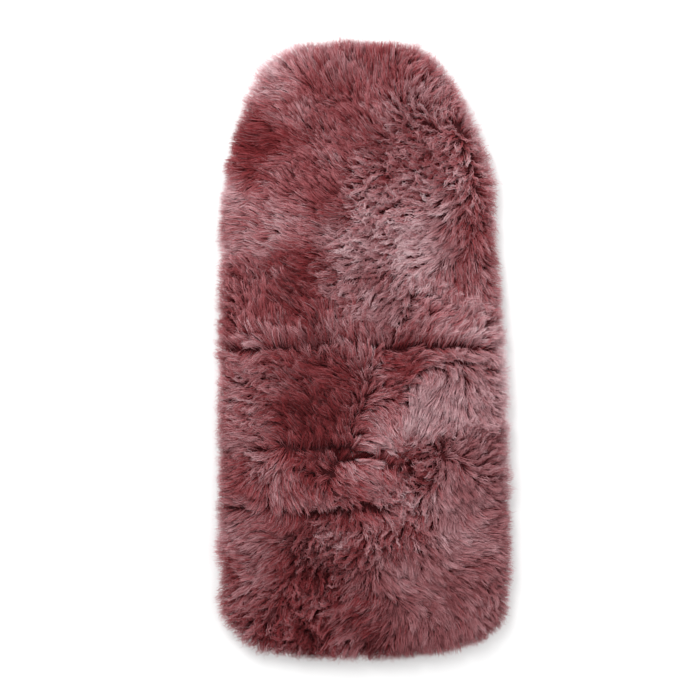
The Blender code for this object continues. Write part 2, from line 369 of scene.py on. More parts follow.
def woven_material(name, dark, light, thread, slant):
    """Cloth with threads this wide: plain weave with slant 0, twill with a slant."""
    material, tree, place = start_material(name, 0.85, 0.2)
    axes = tree.nodes.new("ShaderNodeSeparateXYZ")
    tree.links.new(place, axes.inputs[0])
    turns = TAU / (2 * thread)
    leaning = math_node(tree, "MULTIPLY", axes.outputs["Y"], slant)
    across = math_node(tree, "MULTIPLY", math_node(tree, "ADD", axes.outputs["X"], leaning), turns)
    along = math_node(tree, "MULTIPLY", axes.outputs["Y"], turns)
    weave = math_node(
        tree, "MULTIPLY", math_node(tree, "SINE", across), math_node(tree, "SINE", along)
    )
    height = math_node(tree, "MULTIPLY_ADD", weave, 0.5, 0.5)
    slubs = noise_node(tree, place, 90)
    wear = noise_node(tree, place, 14)
    mixed = math_node(tree, "MULTIPLY_ADD", slubs, 0.2, math_node(tree, "MULTIPLY", height, 0.3))
    mixed = math_node(tree, "MULTIPLY_ADD", wear, 0.1, mixed)
    colour = ramp_node(tree, mixed, dark, light, 0.14, 0.58)
    tree.links.new(colour, tree.nodes["Principled BSDF"].inputs["Base Color"])
    bump_from(tree, height, 0.5, thread * 0.5)
    return material


def fibre_material(name, dark, light, scale, roughness, depth):
    """Felted, napped or fibrous stuff: two sizes of mottling, with a bump from the finer."""
    material, tree, place = start_material(name, roughness, 0.1)
    coarse = noise_node(tree, place, scale * 0.15)
    fine = noise_node(tree, place, scale, 5)
    mixed = math_node(tree, "MULTIPLY_ADD", fine, 0.6, math_node(tree, "MULTIPLY", coarse, 0.4))
    colour = ramp_node(tree, mixed, dark, light, 0.35, 0.65)
    tree.links.new(colour, tree.nodes["Principled BSDF"].inputs["Base Color"])
    bump_from(tree, fine, 0.6, depth)
    return material


def thread_material():
    """Spun polyester thread, with its plies as a fine ripple."""
    material, tree, place = start_material("thread", 0.55)
    plies = noise_node(tree, place, 1500, 1)
    colour = ramp_node(tree, plies, linear(120, 62, 66), linear(168, 104, 108))
    tree.links.new(colour, tree.nodes["Principled BSDF"].inputs["Base Color"])
    bump_from(tree, plies, 0.4, 0.0001)
    return material


LINING = woven_material("lining_weave", linear(122, 74, 78), linear(178, 128, 131), 0.0007, 0)
TWILL = woven_material("binding_twill", linear(86, 38, 42), linear(136, 76, 80), 0.0006, 1)
SUEDE = fibre_material("hide_suede", linear(176, 150, 130), linear(216, 194, 172), 700, 0.9, 0.0004)
FLEECE = fibre_material("wadding_fibre", linear(205, 202, 196), linear(240, 238, 233), 500, 1, 0.0008)
# The undercoat's dark red is partly the wool's own colour and partly painted shade of the deep gaps
# between the locks.
UNDERCOAT = fibre_material("undercoat", linear(50, 8, 12), linear(86, 25, 29), 380, 0.95, 0.001)
THREAD = thread_material()


# ------------------------------------------------------------------ riding and bending
def attach(piece, bodies):
    """Ride on one body; a piece between two bodies across a fold only has its place baked into its mesh.
    """
    if len(bodies) == 1:
        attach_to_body(piece, bodies[0])
        return
    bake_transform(piece)


def zones(half):
    """Each zone along the liner, with its lowest and highest y and its bodies, where the zones
    across the folds reach half to each side of the fold line."""
    return {
        "leg": (-1, LEG_FOLD_Y - half, ("leg",)),
        "leg_fold": (LEG_FOLD_Y - half, LEG_FOLD_Y + half, ("seat", "leg")),
        "seat": (LEG_FOLD_Y + half, BACK_FOLD_Y - half, ("seat",)),
        "back_fold": (BACK_FOLD_Y - half, BACK_FOLD_Y + half, ("seat", "back")),
        "back": (BACK_FOLD_Y + half, 1, ("back",)),
    }


# ------------------------------------------------------------------ layers of the pad
def slot_ring(clearance, steps=9):
    """The outline of the crotch strap slot moved outwards, and the direction away from it."""
    straight = SLOT_HALF - SLOT_WIDTH / 2
    radius = SLOT_WIDTH / 2 + clearance
    turns = np.concatenate(
        [np.linspace(-math.pi / 2, math.pi / 2, steps), np.linspace(math.pi / 2, 1.5 * math.pi, steps)]
    )
    away = np.stack([np.cos(turns), np.sin(turns)], 1)
    centre = np.repeat([[straight, SLOT_Y], [-straight, SLOT_Y]], steps, 0)
    return centre + away * radius, away


def cut_slot(piece, clearance):
    """Cut the crotch strap slot through a piece, clearance wider than the slot all round."""
    ring = slot_ring(clearance)[0]
    count = len(ring)
    points = [(x, y, z) for z in (-0.1, 0.1) for x, y in ring]
    faces = [(k, (k + 1) % count, count + (k + 1) % count, count + k) for k in range(count)]
    faces += [tuple(range(count))[::-1], tuple(range(count, 2 * count))]
    cutter = mesh_object("slot_cutter", points, faces, [])
    modifier = piece.modifiers.new("slot", "BOOLEAN")
    modifier.operation = "DIFFERENCE"
    modifier.solver = "EXACT"
    modifier.object = cutter
    bpy.context.view_layer.update()
    evaluated = piece.evaluated_get(bpy.context.evaluated_depsgraph_get())
    cut = bpy.data.meshes.new_from_object(evaluated)
    piece.modifiers.clear()
    piece.data = cut
    bpy.data.objects.remove(cutter, do_unlink=True)


def spread(name, y_range, inset, bottom, top, material, spacing=0.005):
    """A closed layer over part of the liner, between two heights given as functions of x, y."""
    ends = edge_path(-inset, 0.002)[:, 1]
    low, high = max(y_range[0], ends.min() + 0.0001), min(y_range[1], ends.max() - 0.0001)
    even = np.linspace(0, 1, max(4, round(1.5 * (high - low) / spacing)))
    rows = low + (high - low) * (even - 0.9 * np.sin(TAU * even) / TAU)
    columns = round(2 * EDGE[:, 0].max() / spacing) + 1
    u = np.sin(np.linspace(-1, 1, columns) * 1.25) / math.sin(1.25)
    x = half_width(rows, -inset)[:, None] * u[None]
    y = np.repeat(rows[:, None], columns, 1)
    points = np.concatenate(
        [np.stack([x, y, height(x, y) + 0 * x], -1).reshape(-1, 3) for height in (top, bottom)]
    )
    under = len(points) // 2
    faces = []
    for i in range(len(rows) - 1):
        for j in range(columns - 1):
            a, b = i * columns + j, (i + 1) * columns + j
            faces.append((a, a + 1, b + 1, b))
            faces.append((under + a, under + b, under + b + 1, under + a + 1))
    last = (len(rows) - 1) * columns
    rim = list(range(columns))
    rim += [i * columns + columns - 1 for i in range(1, len(rows))]
    rim += [last + j for j in range(columns - 2, -1, -1)]
    rim += [i * columns for i in range(len(rows) - 2, 0, -1)]
    for a, b in zip(rim, rim[1:] + rim[:1]):
        faces.append((b, a, under + a, under + b))
    return mesh_object(name, points, faces, [material])


def depth_at(x, y):
    """How far inside the cut edge each point of a grid lies."""
    return inside(np.ravel(x), np.ravel(y))[0].reshape(np.shape(x))


def undercoat_height(x, y):
    """The height of the dense undercoat: low at the cut edge, at the slot and at the folds."""
    rise = smooth(depth_at(x, y), -0.002, 0.020) * smooth(slot_distance(x, y), 0.004, 0.016)
    for fold_y in (BACK_FOLD_Y, LEG_FOLD_Y):
        rise = rise * (0.45 + 0.55 * smooth(abs(y - fold_y), 0.0, 0.014))
    return BINDING_TOP + 0.0008 + rise * (0.0080 + 0.0008 * noise(x, y, 0.011, 21))


def build_undercoat():
    """The undercoat, in one piece for each zone of the liner."""
    for zone, (low, high, bodies) in zones(FOLD_WOOL_HALF).items():
        piece = spread(
            f"{zone}_undercoat", (low, high), 0.0, lambda x, y: BINDING_TOP + 0.0003,
            undercoat_height, UNDERCOAT,
        )
        if zone == "seat":
            cut_slot(piece, 0.0006)
        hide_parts(f"{zone}_wool" if "fold" in zone else f"{zone}_wool_pile")
        attach(piece, bodies)


def declare_flat(y_range, inset):
    """Compute the widths of a flat layer's cloth along its length, from its outline, and keep nothing.
    """
    ends = edge_path(-inset, 0.002)[:, 1]
    rows = np.linspace(max(y_range[0], ends.min()), min(y_range[1], ends.max()), 200)
    width = 2 * half_width(rows, -inset)


def tucked(x, y):
    """How far a cloth rises at its outer edge, where it is caught over the binding's lower leg."""
    return 0.0008 * (1 - smooth(depth_at(x, y), BINDING_LEG, BINDING_LEG + 0.0015))


def lining_bottom(x, y):
    """The lining's underside, drawn up a little between its seams and puckered beside them."""
    pucker = np.exp((BINDING_LEG - depth_at(x, y)) / 0.008) * (1 + np.sin(1100 * (x + y)))
    return 0.0003 + 0.0002 * noise(x, y, 0.035, 51) + 0.0001 * pucker + tucked(x, y)


def build_inner_layers():
    """The wadding and the lining of each panel, and the seam between the hides at each fold."""
    for panel, (low, high, bodies) in zones(TAPE_HALF).items():
        if "fold" in panel:
            continue
        wadding = spread(
            f"{panel}_wadding_pad", (low, high), 0.0004,
            lambda x, y: WADDING_BASE + 0.0002 + 0.0002 * noise(x, y, 0.012, 61),
            lambda x, y: HIDE_BASE - 0.0005 - 0.0010 * (1 - smooth(depth_at(x, y), 0, 0.006)),
            FLEECE,
        )
        lining = spread(
            f"{panel}_lining_cloth", (low + 0.0002, high - 0.0002), BINDING_LEG - 0.0015, lining_bottom,
            lambda x, y: lining_bottom(x, y) + 0.0004, LINING, 0.004,
        )
        if panel == "seat":
            cut_slot(wadding, 0.0012)
            cut_slot(lining, SLOT_FLANGE + 0.0002)
        declare_flat((low, high), BINDING_LEG - 0.0015)
        for piece, slot in ((wadding, "wadding"), (lining, "lining")):
            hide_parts(f"{panel}_{slot}")
            attach(piece, bodies)
        for slot in frame["nodes"][f"{panel}_hide"].material_slots:
            slot.material = SUEDE
    for zone, (low, high, bodies) in zones(HIDE_GAP).items():
        if "fold" not in zone:
            continue
        seam = spread(
            f"{zone}_hide_seam", (low + 0.0001, high - 0.0001), 0.0005,
            lambda x, y: HIDE_BASE + 0.0002 + 0.0002 * np.sin(x * TAU / 0.003),
            lambda x, y: HIDE_TOP - 0.0002 + 0.0003 * np.sin(x * TAU / 0.003), SUEDE, 0.0015,
        )
        attach(seam, bodies)


def build_fold_tapes():
    """The tape across the underside at each fold, with a row of stitches along each side."""
    for zone, (low, high, bodies) in zones(TAPE_HALF).items():
        if "fold" not in zone:
            continue
        tape = spread(
            f"{zone}_twill_tape", (low, high), BINDING_LEG - 0.0015,
            lambda x, y: 0.00025 + 0.00010 * noise(x, y, 0.010, 71) + tucked(x, y),
            lambda x, y: 0.00095 + 0.00010 * noise(x, y, 0.010, 71) + tucked(x, y) * 0.6,
            TWILL, 0.002,
        )
        declare_flat((low, high), BINDING_LEG - 0.0015)
        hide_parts(f"{zone}_tape")
        edge = TAPE_HALF - 0.0025
        middle = (low + high) / 2
        row = np.arange(-1, 1, 0.004 / half_width(middle, -0.013)) * half_width(middle, -0.013)
        places = np.array([(x, middle + side * edge) for side in (-1, 1) for x in row])
        sewn = stitches(f"{zone}_tape_stitches", places, np.tile((1.0, 0.0), (len(places), 1)))
        for piece in (tape, sewn):
            attach(piece, bodies)


# ------------------------------------------------------------------ binding, facing, stitches
def channel(leg):
    """A folded tape's cross-section as a closed loop of (distance from its outer wall, height):
    a wall with a leg under the pad and a leg over the hide."""
    low, high, corner, thick = 0.0003, BINDING_TOP, 0.0012, 0.0007
    outer = [(leg, low), (leg * 0.5, low), (corner, low)]
    outer += [(corner * 0.3, low + corner * 0.3), (0, low + corner), (0, (low + high) / 2)]
    outer += [(0, high - corner), (corner * 0.3, high - corner * 0.3), (corner, high)]
    outer += [(leg * 0.5, high), (leg, high)]
    inner = [
        (min(max(d, thick), leg), min(max(z, low + thick), high - thick)) for d, z in outer
    ]
    return outer + inner[::-1]


def sweep(name, path, inward, profile, material, closed):
    """A closed solid with one cross-section along a path, with small puckers from its seam."""
    count, around = len(path), len(profile)
    distance, height = np.array(profile).T
    run = np.concatenate([[0], np.cumsum(np.linalg.norm(np.diff(path, axis=0), axis=1))])
    pucker = 1 + 0.03 * np.sin(run * TAU / 0.0042) + 0.04 * noise(run, run * 0, 0.011, 81)
    points = np.empty((count, around, 3))
    points[..., :2] = path[:, None] + inward[:, None] * (distance[None] * pucker[:, None])[..., None]
    bulge = 0.00012 * noise(run, run * 0, 0.007, 83)
    points[..., 2] = height[None] - abs(bulge)[:, None] * (height > 0.004)[None]
    faces = []
    for i in range(count if closed else count - 1):
        a, b = i * around, (i + 1) % count * around
        for k in range(around):
            faces.append((a + k, b + k, b + (k + 1) % around, a + (k + 1) % around))
    if not closed:
        faces.append(tuple(range(around)))
        faces.append(tuple((count - 1) * around + k for k in range(around))[::-1])
    made = mesh_object(name, points.reshape(-1, 3), faces, [material])
    made.data.set_sharp_from_angle(angle=math.radians(50))
    return made


def stitches(name, places, directions, length=0.0030, height=0.0003):
    """A run of sewn stitches, each a short thread lying along its direction."""
    rings = [(-0.5, 0.0), (-0.4, 0.7), (-0.15, 1.0), (0.15, 1.0), (0.4, 0.7), (0.5, 0.0)]
    radius = 0.00024
    points, faces = [], []
    for (x, y), (dx, dy) in zip(places, directions):
        start = len(points)
        points.append((x - dx * length / 2, y - dy * length / 2, height + 0.0003))
        for along, width in rings[1:-1]:
            for k in range(6):
                out = math.cos(TAU * k / 6) * width * radius * 1.3
                up = math.sin(TAU * k / 6) * width * radius
                points.append(
                    (x + dx * along * length - dy * out, y + dy * along * length + dx * out, height + up)
                )
        points.append((x + dx * length / 2, y + dy * length / 2, height + 0.0003))
        end = len(points) - 1
        for k in range(6):
            n = (k + 1) % 6
            faces.append((start, start + 1 + n, start + 1 + k))
            for ring in range(len(rings) - 3):
                a = start + 1 + ring * 6
                faces.append((a + k, a + n, a + 6 + n, a + 6 + k))
            faces.append((end, end - 6 + k, end - 6 + n))
    return mesh_object(name, points, faces, [THREAD])


def build_binding():
    """The edge binding: a folded tape round the cut edge, in one piece for each stretch between
    the folds and a short piece across each end of each fold, and its stitches."""
    wall = 0.0010
    path = edge_path(wall, 0.0028)
    outward = inside(path[:, 0], path[:, 1])[1]
    profile = channel(BINDING_LEG + wall)
    spans = zones(BINDING_GAP)
    for zone, (low, high, bodies) in spans.items():
        for side, word in ((-1, "left"), (1, "right"), (0, "")):
            if (side == 0) != (zone in ("back", "leg")):
                continue
            margin = 0.0001 if "fold" in zone else 0.0
            fitting = (path[:, 1] > low + margin) & (path[:, 1] < high - margin)
            if side:
                fitting &= path[:, 0] * side > 0
            chosen = np.flatnonzero(fitting)
            gap = np.flatnonzero(np.diff(chosen) > 1)
            if len(gap):
                chosen = np.concatenate([chosen[gap[0] + 1:], chosen[:gap[0] + 1]])
            points, normals = path[chosen], outward[chosen]
            points, normals = close_span(points, normals, low + margin, high - margin)
            name = "_".join(part for part in (zone, "binding", word) if part)
            tape = sweep(f"{name}_tape", points, -normals, profile, TWILL, False)
            sewn_at = points[1:-1] - normals[1:-1] * (BINDING_LEG - 0.0015)
            along = np.stack([-normals[1:-1, 1], normals[1:-1, 0]], 1)
            sewn = stitches(f"{name}_stitches", sewn_at, along, 0.0019)
            if zone in ("back", "leg"):
                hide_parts(f"{zone}_edge_binding")
            elif zone == "seat":
                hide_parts(f"seat_edge_binding_{word}")
            for piece in (tape, sewn):
                attach(piece, bodies)


def close_span(points, normals, low, high):
    """Extend a stretch of the path at both ends, to the limit in y that each end is near."""
    ends = []
    for index, step in ((0, 1), (-1, -1)):
        x, y = points[index]
        limit = low if abs(y - low) < abs(y - high) else high
        run = points[index] - points[index + step]
        ends.append((x + run[0] * (limit - y) / run[1], limit))
    return np.vstack([ends[:1], points, ends[1:]]), np.vstack([normals[:1], normals, normals[-1:]])


def build_slot_facing():
    """The folded tape that lines the crotch strap slot, with stitches through its flanges."""
    path, away = slot_ring(0.0, 10)
    facing = sweep("slot_facing_tape", path, away, channel(SLOT_FLANGE), TWILL, True)
    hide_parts("slot_facing")
    sewn_at, out = slot_ring(SLOT_FLANGE - 0.0012, 5)
    straight = np.linspace(-0.85, 0.85, 16) * SLOT_HALF
    reach = SLOT_WIDTH / 2 + SLOT_FLANGE - 0.0012
    sides = np.array([(x, SLOT_Y + side * reach) for side in (-1, 1) for x in straight])
    places = np.vstack([sewn_at, sides])
    along = np.vstack([np.stack([-out[:, 1], out[:, 0]], 1), np.tile((1.0, 0.0), (len(sides), 1))])
    sewn = stitches("slot_facing_stitches", places, along, 0.0026)
    for piece in (facing, sewn):
        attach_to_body(piece, "seat")


# ------------------------------------------------------------------ strands
def add_strands(name, paths, radii, shades):
    """One piece of closed tapered strands. paths is strands x points x 3, radii is strands x
    (points - 1), and shades is the index of a wool shade for each stretch of each strand."""
    count, points = paths.shape[:2]
    rings = points - 1
    ahead = np.gradient(paths, axis=1)
    tangent = unit(ahead)
    flat = unit((paths[:, -1] - paths[:, 0]) * (1, 1, 0))
    across = unit(np.stack([-flat[:, 1], flat[:, 0], np.full(count, 1e-4)], 1))[:, None]
    first = unit(across - (across * tangent).sum(-1, keepdims=True) * tangent)
    second = np.cross(tangent, first)
    corners = np.empty((count, rings * 3 + 1, 3), np.float32)
    for k in range(3):
        angle = TAU * k / 3
        offset = first[:, :rings] * math.cos(angle) + second[:, :rings] * math.sin(angle)
        corners[:, k:rings * 3:3] = paths[:, :rings] + offset * radii[..., None]
    corners[:, -1] = paths[:, -1]

    quads = np.array(
        [
            (r * 3 + k, r * 3 + (k + 1) % 3, r * 3 + 3 + (k + 1) % 3, r * 3 + 3 + k)
            for r in range(rings - 1)
            for k in range(3)
        ]
    )
    last = (rings - 1) * 3
    tips = np.array([(last + k, last + (k + 1) % 3, rings * 3) for k in range(3)] + [(0, 2, 1)])
    loops = np.concatenate([quads.ravel(), tips.ravel()])
    sizes = np.array([4] * len(quads) + [3] * len(tips))
    starts = np.concatenate([[0], np.cumsum(sizes)[:-1]])
    stretch = np.array([q // 3 for q in range(len(quads))] + [rings - 1] * 3 + [0])
    base = np.arange(count)[:, None]

    mesh = bpy.data.meshes.new(name)
    mesh.vertices.add(count * corners.shape[1])
    mesh.vertices.foreach_set("co", corners.ravel())
    mesh.loops.add(count * len(loops))
    all_loops = loops + base * corners.shape[1]
    mesh.loops.foreach_set("vertex_index", all_loops.astype(np.int32).ravel())
    mesh.polygons.add(count * len(sizes))
    mesh.polygons.foreach_set("loop_start", (starts + base * len(loops)).astype(np.int32).ravel())
    for shade in WOOL_SHADES:
        mesh.materials.append(shade)
    mesh.polygons.foreach_set("material_index", shades[:, stretch].astype(np.int32).ravel())
    mesh.polygons.foreach_set("use_smooth", np.ones(count * len(sizes), bool))
    mesh.update(calc_edges=True)
    made = bpy.data.objects.new(name, mesh)
    bpy.context.scene.collection.objects.link(made)
    return made


def patches():
    """Every patch of wool, with its place in metres first."""
    foot, head = EDGE[:, 1].min(), EDGE[:, 1].max()
    panels = (
        (BACK_PATCHES, BACK_FOLD_Y, head),
        (SEAT_PATCHES, LEG_FOLD_Y, BACK_FOLD_Y),
        (LEG_PATCHES, foot, LEG_FOLD_Y),
    )
    return np.array([
        (across * EDGE_HALF, low + along * (high - low), *rest)
        for rows, low, high in panels for across, along, *rest in rows
    ])


def lie_at(x, y):
    """The lie of the wool at each point, from the patches round it, whose borders wander. It
    stands up where they disagree about its heading."""
    lie = patches()
    place = lie[:, :2]
    wander_x = x + BORDER_WANDER * noise(x, y, 0.045, 41) + BORDER_FRAY * noise(x, y, 0.014, 42)
    wander_y = y + BORDER_WANDER * noise(x, y, 0.045, 43) + BORDER_FRAY * noise(x, y, 0.014, 44)
    away = ((np.stack([wander_x, wander_y], -1)[:, None] - place[None]) ** 2).sum(-1)
    weight = 1 / (away + PATCH_BLUR**2) ** 2
    weight /= weight.sum(1, keepdims=True)
    heading = np.radians(lie[:, 2])
    dx, dy = weight @ np.cos(heading), weight @ np.sin(heading)
    lean, crimp, tone, grey = (weight @ lie[:, k] for k in (3, 4, 5, 6))
    agreed = smooth(np.hypot(dx, dy), 0.0, 0.8)
    heading = np.arctan2(dy, dx) + 0.4 * noise(x, y, 0.04, 45)
    crimp = np.clip(crimp + 0.2 * noise(x, y, 0.03, 46), 0, 1)
    tone = tone + 0.3 * noise(x, y, 0.05, 47)
    return heading, lean * (0.5 + 0.5 * agreed), crimp, tone, grey


def lock_roots(rng):
    """Where the locks grow: a shaken honeycomb inside the cut edge, two rows along the edge,
    and one row on each lip of the slot."""
    rows = np.arange(EDGE[:, 1].min(), EDGE[:, 1].max(), LOCK_SPACING * 0.866)
    columns = np.arange(EDGE[:, 0].min(), EDGE[:, 0].max(), LOCK_SPACING)
    x, y = np.meshgrid(columns, rows)
    x = x + (np.arange(len(rows)) % 2 * LOCK_SPACING / 2)[:, None]
    rim = np.concatenate([edge_path(back, LOCK_SPACING * 0.5) for back in (-0.0015, -0.0040)])
    along = np.linspace(-SLOT_HALF, SLOT_HALF, round(2 * SLOT_HALF / (LOCK_SPACING * 0.28)))
    lip = SLOT_WIDTH / 2 + 0.0022
    x = np.concatenate([x.ravel(), rim[:, 0], along, along])
    y = np.concatenate([y.ravel(), rim[:, 1], along * 0 + SLOT_Y + lip, along * 0 + SLOT_Y - lip])
    x = x + rng.normal(0, LOCK_SPACING * 0.24, x.shape)
    y = y + rng.normal(0, LOCK_SPACING * 0.24, y.shape)
    depth, outward = inside(x, y)
    kept = (depth > 0.0006) & (slot_distance(x, y) > SLOT_WIDTH * 0.62)
    return x[kept], y[kept], depth[kept], outward[kept]


# Where the wool parts: the line's start and end in metres, how far to each side it leans away,
# and how strongly, which also sets how deep the painted shade in the parting is.
PARTINGS = (
    ((-0.19, BACK_FOLD_Y), (0.19, BACK_FOLD_Y), 0.013, 0.55),
    ((-0.19, LEG_FOLD_Y), (0.07, LEG_FOLD_Y + 0.003), 0.013, 0.30),
    ((-0.10, LEG_FOLD_Y), (0.02, LEG_FOLD_Y + 0.002), 0.011, 0.8),
    ((-0.10, SLOT_Y + 0.01), (-0.01, SLOT_Y), 0.013, 0.8),
    ((0.02, SLOT_Y - 0.01), (0.07, SLOT_Y - 0.02), 0.012, 0.8),
    ((0.125, 0.215), (0.145, 0.165), 0.010, 0.3),
)


def part_wool(x, y, heading_x, heading_y, lean, tone):
    """Turn the lie away from the wavering parting lines, and darken the wool standing in them
    with painted shade. Lay the wool on the slot's lips across it, painted dark as the slot's shade.
    """
    waver = 0.004 * noise(x, y * 0, 0.018, 31)
    for start, end, reach, strength in PARTINGS:
        start, end = np.array(start), np.array(end)
        run = end - start
        place = np.stack([x, y + waver], -1)
        t = np.clip(((place - start) @ run) / (run @ run), 0, 1)
        off = place - (start + t[:, None] * run)
        distance = np.linalg.norm(off, axis=1)
        patchy = strength * (1 + 0.6 * noise(x, y * 0, 0.023, 33))
        share = np.clip(patchy, 0, 1) * (1 - smooth(distance, 0.002, reach))
        away = unit(off)
        heading_x = heading_x * (1 - share) + away[:, 0] * share
        heading_y = heading_y * (1 - share) + away[:, 1] * share
        lean = lean + share * (0.80 - lean)
        # Painted shade in the parting.
        tone = tone - 0.45 * patchy * (1 - smooth(distance, 0.0, reach * 0.6))
    lid = slot_lid(x, y)
    heading_y = heading_y * (1 - lid) + lid * np.sign(SLOT_Y - y)
    lean = lean * (1 - lid) + 0.95 * lid
    # The wool on the slot's lips is painted dark: painted shade in the slot's crease.
    tone = tone * (1 - lid) - 1.5 * lid
    return heading_x, heading_y, lean, tone


def slot_lid(x, y):
    """1 for the short wool on the slot's lips, which lies across the opening, and 0 elsewhere.
    One long lock on the upper lip falls across the slot instead."""
    lip = 1 - smooth(slot_distance(x, y), SLOT_WIDTH / 2 + 0.0025, SLOT_WIDTH / 2 + 0.0045)
    return lip * smooth(np.hypot(x + 0.001, y - SLOT_Y - 0.008), 0.003, 0.007)


# Where the wool on the edge stands out further: x, y and radius in metres, and how much.
FULLER_EDGE = (
    (-0.13, 0.37, 0.08, 0.35),
    (0.17, 0.24, 0.07, 0.15),
    (0.19, -0.16, 0.16, 0.12),
    (-0.18, -0.33, 0.12, 0.20),
)


def grow_locks(rng):
    """Every lock's centre line and its two cross directions, and what its strands share."""
    x, y, depth, outward = lock_roots(rng)
    count = len(x)
    heading, lean, crimp, tone, grey = lie_at(x, y)
    loose = 0.35 + 0.65 * smooth(crimp, 0.1, 0.8)
    heading = heading + 0.45 * noise(x, y, 0.017, 3) + rng.normal(0, 0.24, count) * loose
    dx, dy, lean, tone = part_wool(x, y, np.cos(heading), np.sin(heading), lean, tone)
    rim = 1 - smooth(depth, 0.003, 0.026)
    edge = 1 - smooth(depth, 0.0, 0.016)
    dx = dx * (1 - rim * 0.7) + outward[:, 0] * rim * 0.7
    dy = dy * (1 - rim * 0.7) + outward[:, 1] * rim * 0.7
    crimp = np.clip(crimp + 0.2 * rim, 0, 1)
    heading = np.arctan2(dy, dx)
    lean = np.clip(lean + rng.normal(0, 0.08, count) + 0.08 * noise(x, y, 0.02, 5), 0.2, 0.97)
    length = LOCK_LENGTH * (0.97 + 0.18 * noise(x, y, 0.013, 7) + rng.normal(0, 0.07, count) * loose)
    fuller = sum(
        much * (1 - smooth(np.hypot(x - at_x, y - at_y), 0.4 * reach, reach))
        for at_x, at_y, reach, much in FULLER_EDGE
    )
    fuller = fuller + 0.10 * noise(x, y, 0.035, 17)
    length *= (1 - (0.28 - fuller) * edge) * (1 - 0.3 * slot_lid(x, y))
    length *= 0.80 + 0.20 * smooth(lean, 0.25, 0.7)
    on_top = rng.random(count) < 0.33
    length *= 1 + np.where(on_top, 0.15, -0.12) * (1 - edge)
    rise_start = np.radians(82 - 24 * lean - 6 * edge + 5 * on_top)
    rise_end = np.radians(56 - 62 * lean - 30 * edge) + rng.normal(0, 0.32, count) * crimp
    turn = (0.25 + 1.3 * crimp**2) * rng.normal(0, 0.75, count) * (1 - 0.5 * edge)

    t = np.linspace(0, 1, LOCK_POINTS)[None]
    rise = rise_start[:, None] + (rise_end - rise_start)[:, None] * t**0.8
    bearing = heading[:, None] + turn[:, None] * t**1.5
    step = length[:, None] / (LOCK_POINTS - 1)
    ahead = np.stack(
        [np.cos(rise) * np.cos(bearing), np.cos(rise) * np.sin(bearing), np.sin(rise)], -1
    )
    centre = np.cumsum(ahead * step[..., None], 1)
    centre -= centre[:, :1]
    side = np.stack([-np.sin(bearing), np.cos(bearing), np.zeros_like(bearing)], -1)
    over = np.cross(ahead, side)
    phase = TAU * 1.1 * noise(x, y, 0.015, 15) + rng.normal(0, 0.7, count)
    wave = phase[:, None] + TAU * t * length[:, None] / CRIMP_LENGTH
    swing = ((0.0006 + 0.0019 * crimp)[:, None] * t**0.6)[..., None]
    centre += side * swing * np.sin(wave)[..., None] + over * swing * 0.6 * np.cos(wave)[..., None]
    foot = np.maximum(undercoat_height(x, y) - 0.0015, BINDING_TOP + 0.0004)
    centre += np.stack([x, y, foot], -1)[:, None]
    centre[..., 2] -= 0.75 * np.maximum(centre[..., 2] - BRUSHED_TOP, 0)
    # Painted light and shade: the locks standing on top are lighter, the ones beneath them darker.
    tone = tone + np.where(on_top, 0.2, -0.1) * loose
    tone = tone + 0.50 * noise(x, y, 0.022, 8) * (0.2 + 0.8 * loose)
    tone = tone + (0.26 * noise(x, y, 0.010, 9) + rng.normal(0, 0.28, count)) * loose
    # Painted light: the wool within a centimetre of the cut edge is lighter, as if lit through its thin
    # fringe, except at the foot end.
    tone = tone + 0.5 * (1 - smooth(depth, 0.0, 0.010)) * smooth(y, -0.39, -0.36)
    grey = grey + 0.16 * noise(x, y, 0.018, 13)
    return {
        "centre": centre, "side": side, "over": over, "crimp": crimp, "tone": tone, "grey": grey,
        "depth": depth, "loose": loose,
    }


